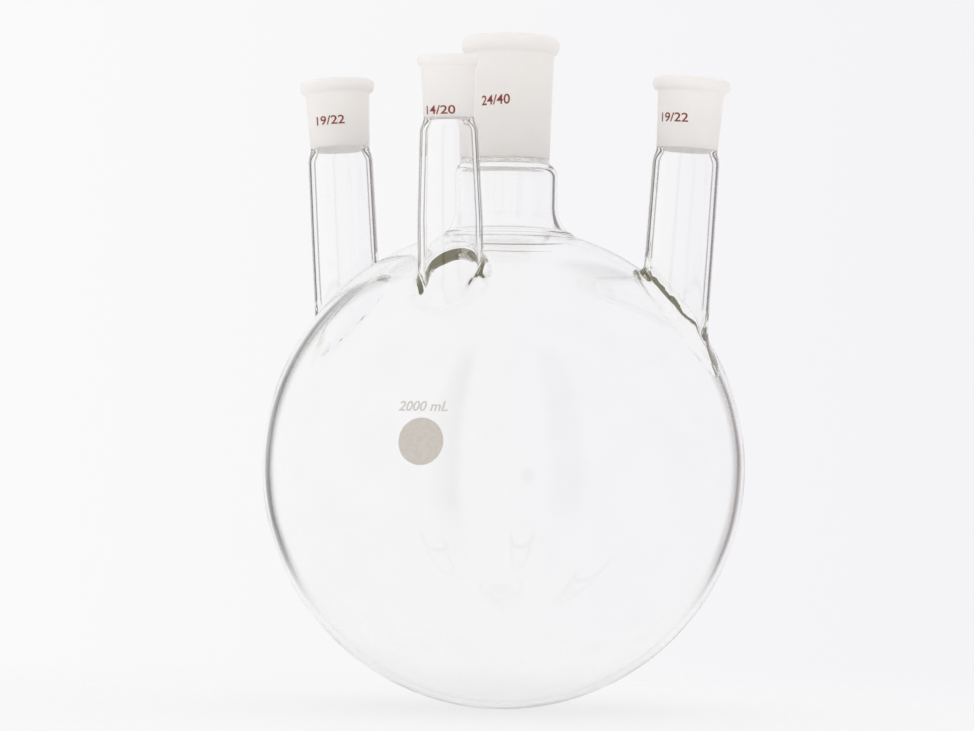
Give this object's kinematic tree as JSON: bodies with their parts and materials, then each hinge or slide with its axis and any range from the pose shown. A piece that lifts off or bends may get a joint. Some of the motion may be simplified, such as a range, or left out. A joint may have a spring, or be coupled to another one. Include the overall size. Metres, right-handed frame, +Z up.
{
  "type": "four-neck round-bottom flask",
  "caption": "Clear round-bottom laboratory boiling flask with an upright centre neck and slightly splayed side and front necks, each ending in a ground taper socket.",
  "frame": {"origin": "lowest point of the bulb, on the centre neck's axis", "axes": "+Z up along the centre neck's axis, -Y towards the small front neck, the left neck towards -X and the right neck towards +X"},
  "size_m": [0.166, 0.1661, 0.2316],
  "materials": {
    "clear_glass": "clear, fire-polished",
    "fused_glass": "clear, slightly wavy, faint olive where it is thick",
    "ground_glass": "ground matte, frosted",
    "enamel": "matte fired enamel",
    "size_print": "matte fired ink"
  },
  "bodies": {
    "root": {"bulb": "clear_glass", "centre_weld": "fused_glass", "centre_shoulder": "clear_glass", "centre_seal": "fused_glass", "centre_socket": "ground_glass", "marking_spot": "enamel", "left_weld": "fused_glass", "left_tube": "clear_glass", "left_socket": "ground_glass", "right_weld": "fused_glass", "right_tube": "clear_glass", "right_socket": "ground_glass", "front_weld": "fused_glass", "front_tube": "clear_glass", "front_socket": "ground_glass"}
  },
  "joints": []
}
